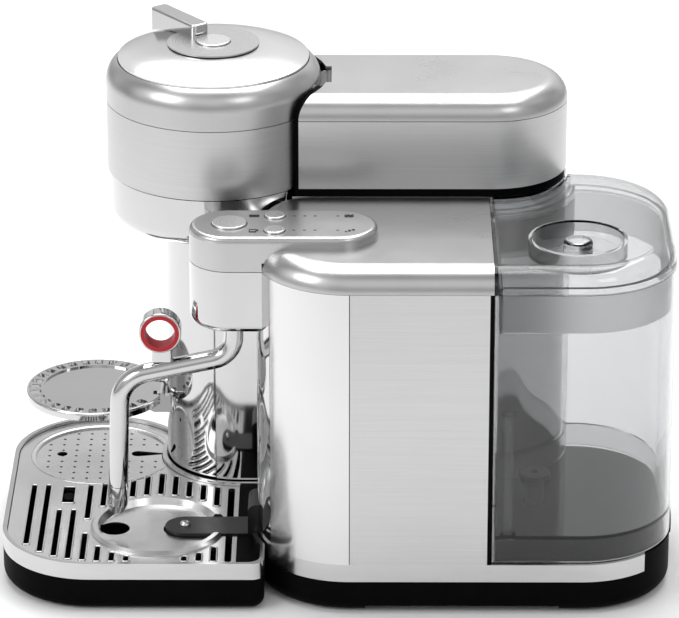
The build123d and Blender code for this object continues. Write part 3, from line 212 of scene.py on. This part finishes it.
# The base, the back housing, the arm's gasket and the tray's tub are moulded in one black plastic,
# as are the small parts behind them. It has a fine spark texture, a little glossier where hands and
# cloths have rubbed it.
black = Finish("black_moulding", Specular_IOR_Level=0.02)
black_rub = black.grain((60, 60, 60), 4)
black.wire(Base_Color=black.tone(black_rub, 0.001, 0.004), Roughness=0.36 + 0.2 * black_rub)
black.relief(black.grain((2600, 2600, 2600), 2), 0.12, 0.0002)
black.put_on("base_chassis", "arm_gasket", "drip_tray", "tray_float", "back_housing", "wand_socket",
             "column_deck", "holder_pulley")

# The feet, the lead's gland and the belt are black rubber, matt and slightly dusty.
rubber = Finish("foot_rubber", Specular_IOR_Level=0.3)
rubber_dust = rubber.grain((240, 240, 240), 5)
rubber.wire(Base_Color=rubber.tone(rubber_dust, 0.012, 0.03), Roughness=0.7 + 0.2 * rubber_dust)
rubber.relief(rubber_dust, 0.3, 0.0003)
rubber.put_on("rubber_feet", "power_inlet", "drive_belt")

# The band round the base and the tray's rim are rolled steel strip, bent to the outline and buffed
# along it to a soft shine.
buffed = Finish("buffed_steel", Metallic=1.0)
buffed_grain = buffed.grain((30, 30, 220), 4)
buffed.wire(Base_Color=buffed.tone(buffed_grain, 0.54, 0.64), Roughness=0.16 + 0.08 * buffed_grain)
buffed.relief(buffed.grain((500, 2400, 2400), 2), 0.02, 0.0001)
buffed.put_on("base_trim", "tray_rim")

# The flat side panel, the arm's wrap and the head's band are stainless sheet. They are brushed level,
# so the grain is short, fine streaks that run along the machine. The hinge and the drive inside are
# the same steel.
BRUSH_LENGTH = 7.0
BRUSH_FINE = 2600.0
BRUSH_BROAD = 900.0
brushed = Finish("brushed_stainless", Metallic=1.0, Anisotropic=0.5)
brush_fine = brushed.grain((BRUSH_LENGTH * 2, BRUSH_LENGTH * 2, BRUSH_FINE), 3, 0.7)
brush_broad = brushed.grain((BRUSH_LENGTH, BRUSH_LENGTH, BRUSH_BROAD), 3, 0.6)
brush_cloud = brushed.grain((9, 9, 9), 2)
brush_mark = 0.45 * brush_fine + 0.35 * brush_broad + 0.2 * brush_cloud
brushed.wire(Base_Color=brushed.tone(brush_mark, 0.46, 0.7), Roughness=0.24 + 0.14 * brush_mark)
brushed.relief(brush_fine, 0.05, 0.0001)
brushed.put_on("side_panel", "arm_panel", "head_band", "arm_hinge", "motor_pulley", "drive_motor")

# The deck, the arm's cap, the head's shoulder and the steam head's top are cast zinc, bead-blasted
# and plated to a fine satin.
satin = Finish("satin_silver", Metallic=1.0)
satin_cloud = satin.grain((24, 24, 24), 4)
satin.wire(Base_Color=satin.tone(satin_cloud, 0.5, 0.58), Roughness=0.25 + 0.07 * satin_cloud)
satin.relief(satin.grain((2200, 2200, 2200), 2), 0.03, 0.0001)
satin.put_on("top_cover", "arm_cover", "head_shoulder", "steam_head_cover", "control_panel")

# The corner cover and the head's lid are cast in the same zinc as the satin parts. Their base colour is
# set lighter as a painted highlight for the light they catch, and they are polished a little further.
painted_highlight_satin = Finish("satin_silver_painted_highlight", Metallic=1.0)
painted_highlight_satin_cloud = painted_highlight_satin.grain((20, 20, 20), 4)
# The lighter base colour below is a painted highlight on the same satin zinc, not a different plating.
painted_highlight_satin.wire(Base_Color=painted_highlight_satin.tone(painted_highlight_satin_cloud, 0.68, 0.76), Roughness=0.17 + 0.06 * painted_highlight_satin_cloud)
painted_highlight_satin.relief(painted_highlight_satin.grain((2600, 2600, 2600), 2), 0.03, 0.0001)
painted_highlight_satin.put_on("corner_cover", "head_lid")

# The column, its container, the cowl, the steam head and the wand are mirror chrome, with the small
# fittings that go with them. Wiping has left faint smears.
chrome = Finish("mirror_chrome", Metallic=1.0)
chrome_smear = chrome.grain((22, 22, 22), 5)
chrome.wire(Base_Color=chrome.tone(chrome_smear, 0.56, 0.64), Roughness=0.03 + 0.06 * chrome_smear)
chrome.relief(chrome.grain((260, 260, 260), 2), 0.012, 0.0002)
chrome.put_on("front_cover", "column_housing", "container_front", "head_cowl", "lock_lever",
              "steam_head_shell", "steam_wand", "wand_tip", "handle_ring", "cup_stand", "stand_bracket",
              "coffee_spout", "jug_sensor")


# The hub and the press buttons are turned from steel bar and faced on a lathe, which leaves fine
# rings about each one's centre.
RINGS_PER_METRE = 2600.0


def middle(node):
    low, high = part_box(node)
    return (low + high) / 2


def spun(name, node, low, high):
    """A finish of fine rings round the middle of the node."""
    metal = Finish(name, Metallic=1.0)
    east = metal.along("X") - middle(node).x
    north = metal.along("Y") - middle(node).y
    radius = metal.node("ShaderNodeMath", {"operation": "SQRT"}, {0: east * east + north * north})
    place = metal.node("ShaderNodeCombineXYZ", {}, {"X": radius})
    noise = {"Vector": place, "Scale": RINGS_PER_METRE, "Detail": 2.0, "Roughness": 0.6}
    rings = metal.node("ShaderNodeTexNoise", {}, noise, "Fac")
    metal.wire(Base_Color=metal.tone(rings, low, high), Roughness=0.2 + 0.14 * rings)
    metal.relief(rings, 0.06, 0.0001)
    metal.put_on(node)


spun("spun_hub", "lever_hub", 0.5, 0.66)
for button in ("brew_button", "steam_button", "texture_button", "temperature_button"):
    spun("spun_" + button, button, 0.6, 0.92)

# The grid and the jug disc are pressed from steel sheet. The edge of each slot in the grid is rolled
# up into a polished bead, and the dotted dish under the cup has a raised, rounded border.
pressed = Finish("pressed_steel", Metallic=1.0)
pressed_cloud = pressed.grain((45, 45, 45), 4)
pressed.wire(Base_Color=pressed.tone(pressed_cloud, 0.6, 0.7), Roughness=0.2 + 0.1 * pressed_cloud)
pressed.relief(pressed.grain((1800, 1800, 1800), 2), 0.04, 0.0001)
pressed.put_on("tray_grid", "steam_disc")
BEAD_R = 0.00062
BEAD_LIFT = 0.00012
BEAD_MIN_LOOP = 0.018
BEAD_MAX_LOOP = 0.26
WELD = 1e-6
LEVEL = 2e-5
FACES_UP = 0.9


def top_loops(node):
    """The closed outlines in a flat plate's top face, as lists of points."""
    plate = bmesh.new()
    plate.from_mesh(nodes[node].data)
    bmesh.ops.remove_doubles(plate, verts=plate.verts, dist=WELD)
    plate.normal_update()
    top = max(v.co.z for v in plate.verts)
    follow = {}
    for edge in plate.edges:
        if len(edge.link_faces) == 2 and all(abs(v.co.z - top) < LEVEL for v in edge.verts):
            flat = [face.normal.z > FACES_UP for face in edge.link_faces]
            if flat[0] != flat[1]:
                a, b = edge.verts
                follow.setdefault(a.index, []).append(b.index)
                follow.setdefault(b.index, []).append(a.index)
    plate.verts.ensure_lookup_table()
    places = {index: plate.verts[index].co.copy() for index in follow}
    plate.free()
    loops, seen = [], set()
    for start in sorted(follow):
        if start in seen:
            continue
        loop, here = [], start
        while here is not None:
            seen.add(here)
            loop.append(places[here])
            here = next((n for n in follow[here] if n not in seen), None)
        loops.append(loop)
    return loops


def perimeter(loop):
    return sum((loop[i] - loop[i - 1]).length for i in range(len(loop)))


def round_line(name, strokes, radius, facets, finish):
    """A round line through the points of each stroke, closed where the stroke says so."""
    line = bpy.data.curves.new(name, "CURVE")
    line.dimensions = "3D"
    line.bevel_depth = radius
    line.bevel_resolution = facets
    for closed, places in strokes:
        spline = line.splines.new("POLY")
        spline.points.add(len(places) - 1)
        for point, (x, y, z) in zip(spline.points, places):
            point.co = (x, y, z, 1)
        spline.use_cyclic_u = closed
    piece = bpy.data.objects.new(name, line)
    scene.collection.objects.link(piece)
    line.materials.append(finish.material)
    return piece


bead_lift = Vector((0, 0, BEAD_LIFT))
slot_strokes = [(True, [place + bead_lift for place in loop]) for loop in top_loops("tray_grid")
                if BEAD_MIN_LOOP < perimeter(loop) < BEAD_MAX_LOOP]
slot_beads = round_line("slot_beads", slot_strokes, BEAD_R, 3, chrome)
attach(slot_beads, "tray_grid")

DISH_DEPTH = 0.001
BORDER_PROFILE = ((-0.0006, -0.0012), (0.0004, -0.0004), (0.0012, 0.0003), (0.0022, 0.0006),
                  (0.0031, 0.0004), (0.0036, -0.0003), (0.0036, -0.0012))
BORDER_STEPS = 150
BORDER_GAP = math.radians(24)
BORDER_FADE = math.radians(12)
BORDER_SINK = 0.0006
grid_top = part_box("tray_grid")[1].z
dish_level = grid_top - DISH_DEPTH
dish = [v.co for v in nodes["tray_grid"].data.vertices if abs(v.co.z - dish_level) < LEVEL]
dish_r = (max(p.x for p in dish) - min(p.x for p in dish)) / 2
dish_x = min(p.x for p in dish) + dish_r
dish_y = min(p.y for p in dish) + dish_r
border = bmesh.new()
border_rows = []
border_swing = 2 * math.pi - 2 * BORDER_GAP
for step in range(BORDER_STEPS + 1):
    done = border_swing * step / BORDER_STEPS
    fade = min(1.0, done / BORDER_FADE, (border_swing - done) / BORDER_FADE)
    angle = math.pi / 2 + BORDER_GAP + done
    row = []
    for out, up in BORDER_PROFILE:
        x = dish_x + (dish_r + out) * math.cos(angle)
        y = dish_y + (dish_r + out) * math.sin(angle)
        row.append(border.verts.new((x, y, grid_top + up - BORDER_SINK * (1 - fade))))
    border_rows.append(row)
for row, after in zip(border_rows, border_rows[1:]):
    for k in range(len(row)):
        m = (k + 1) % len(row)
        border.faces.new((row[k], row[m], after[m], after[k])).smooth = True
border.faces.new(border_rows[0])
border.faces.new(border_rows[-1])
bmesh.ops.recalc_face_normals(border, faces=border.faces)
border_data = bpy.data.meshes.new("dish_border")
border.to_mesh(border_data)
border.free()
dish_border = bpy.data.objects.new("dish_border", border_data)
scene.collection.objects.link(dish_border)
border_data.materials.append(pressed.material)
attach(dish_border, "tray_grid")

# The panel's marks are pad-printed in dark grey: a cup by the amount button, froth bars by the
# texture button, and rising dots and waves past the ends of the lamp rows.
ink = Finish("print_ink", Specular_IOR_Level=0.2)
ink_speck = ink.grain((1500, 1500, 1500), 3)
ink.wire(Base_Color=ink.tone(ink_speck, 0.02, 0.05), Roughness=0.5 + 0.2 * ink_speck)
MM = 0.001
INK_R = 0.00032
INK_LIFT = 0.00005
MARK_GAP = 0.013
ENDS_GAP = 0.0466
panel_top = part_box("control_panel")[1].z


def printed(name, strokes, centre):
    """Strokes in millimetres round a centre, as a thin line of ink on the panel."""
    lines = [(closed, [(centre[0] + x * MM, centre[1] + y * MM, panel_top + INK_LIFT) for x, y in points])
             for closed, points in strokes]
    mark = round_line(name, lines, INK_R, 2, ink)
    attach(mark, "machine_body")


row_middles = sorted(tuple(middle(node)[:2]) for node in ("texture_button", "temperature_button"))
far_row, near_row = row_middles
CUP = [(True, [(-1.8, -2.6), (-1.8, 1.6), (1.0, 1.6), (1.9, 0.8), (1.9, -1.8), (1.0, -2.6)]),
       (False, [(-1.0, 1.6), (-1.2, 2.9), (0.3, 2.9), (0.6, 1.6)]),
       (False, [(2.6, -2.8), (2.6, 1.8)])]
FROTH = [(False, [(x, -3.2), (x, 3.2)]) for x in (-1.4, 0.0, 1.4)]
WAVE_YS = [-3.0 + 0.8 * step for step in range(8)]
WAVES = [(False, [(x + 0.5 * math.sin(y * 2.2), y) for y in WAVE_YS]) for x in (-1.6, 0.0, 1.6)]
RISING = [(True, [(x + r, y), (x, y + r), (x - r, y), (x, y - r)])
          for x, y, r in ((1.6, -2.2, 0.5), (0.4, 0.0, 0.7), (-1.2, 2.4, 0.9))]
printed("cup_mark", CUP, (near_row[0], near_row[1] - MARK_GAP))
printed("froth_mark", FROTH, (far_row[0], far_row[1] - MARK_GAP))
printed("waves_mark", WAVES, (far_row[0], far_row[1] + ENDS_GAP))
printed("rising_mark", RISING, (near_row[0], near_row[1] + ENDS_GAP))

# The jug sensor's arm and the capsule bucket are black plastic with a soft sheen, so that drips
# wipe off.
arm_black = Finish("sensor_black", Specular_IOR_Level=0.35)
arm_rub = arm_black.grain((120, 120, 120), 4)
arm_black.wire(Base_Color=arm_black.tone(arm_rub, 0.004, 0.012), Roughness=0.22 + 0.2 * arm_rub)
arm_black.relief(arm_black.grain((2400, 2400, 2400), 2), 0.08, 0.0002)
arm_black.put_on("sensor_arm", "capsule_bucket")

# The ring's liner is a tube of soft crimson silicone, pressed into the ring. It keeps the finger
# off the hot metal.
liner = Finish("crimson_silicone", Specular_IOR_Level=0.4)
liner_mottle = liner.grain((300, 300, 300), 4)
liner.wire(Base_Color=liner.tone(liner_mottle, (0.36, 0.006, 0.014), (0.46, 0.01, 0.02)),
           Roughness=0.4 + 0.14 * liner_mottle)
liner.relief(liner_mottle, 0.08, 0.0001)
liner.put_on("ring_liner")

# The tank and its lid are moulded in clear plastic, faintly smoky where the walls are seen edge
# on. The lid's deep skirt, which plugs the tank, is frosted up to the tank's rim.
TANK_TINT = (0.74, 0.745, 0.75)
clear = Finish("clear_plastic", Base_Color=TANK_TINT, Transmission_Weight=1.0, IOR=1.46)
clear_haze = clear.grain((18, 18, 18), 3)
clear.wire(Roughness=0.01 + 0.03 * clear_haze)
clear.relief(clear.grain((26, 26, 26), 2), 0.04, 0.0006)
clear.put_on("water_tank")
FROST_MARGIN = 0.001
FROST_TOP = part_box("water_tank")[1].z - FROST_MARGIN
frosted = Finish("lid_plastic", Base_Color=TANK_TINT, Transmission_Weight=1.0, IOR=1.46)
frost = frosted.along("Z") < FROST_TOP
frosted.wire(Roughness=0.02 + 0.3 * frost + 0.03 * frosted.grain((18, 18, 18), 3))
frosted.put_on("tank_lid")

# The panel's indicator lamps are off. Each sits under a small clouded lens of smoky plastic, set
# flush in the panel.
lens = Finish("lamp_lens", Specular_IOR_Level=0.5)
lens_speck = lens.grain((900, 900, 900), 3)
lens.wire(Base_Color=lens.tone(lens_speck, 0.04, 0.09), Roughness=0.25 + 0.2 * lens_speck)
lens.put_on("panel_lights")

# The frames and holders inside are grey plastic, moulded with a fine spark texture. The pump's
# case and the tank's valve are the same.
grey = Finish("grey_moulding")
grey_rub = grey.grain((90, 90, 90), 4)
grey.wire(Base_Color=grey.tone(grey_rub, 0.05, 0.08), Roughness=0.42 + 0.15 * grey_rub)
grey.relief(grey.grain((2400, 2400, 2400), 2), 0.1, 0.0002)
grey.put_on("capsule_holder", "clamp_plate", "head_frame", "tank_valve", "water_pump")

# The two water heaters are aluminium castings with the heating element cast in. Their skin is
# left rough and pitted from the mould.
cast = Finish("cast_aluminium", Metallic=1.0)
cast_pits = cast.grain((700, 700, 700), 6)
cast.wire(Base_Color=cast.tone(cast_pits, 0.42, 0.56), Roughness=0.45 + 0.2 * cast_pits)
cast.relief(cast_pits, 0.4, 0.0004)
cast.put_on("water_heaters")

# The circuit board is green glass laminate and stands on edge inside. The tracks show as thin
# lighter lines under its lacquer.
board = Finish("board_green")
board_tracks = board.grain((400, 40, 400), 4)
board.wire(Base_Color=board.tone(board_tracks, (0.005, 0.06, 0.02), (0.02, 0.14, 0.05)),
           Roughness=0.3 + 0.3 * board_tracks)
board.put_on("circuit_board")

# The water hoses are extruded in milky silicone, soft and slightly clouded. They join the tank,
# the pump, the heaters and the two heads.
hose = Finish("milky_hose")
hose_cloud = hose.grain((200, 200, 200), 3)
hose.wire(Base_Color=hose.tone(hose_cloud, 0.66, 0.78), Roughness=0.35 + 0.15 * hose_cloud)
hose.put_on("water_hoses")
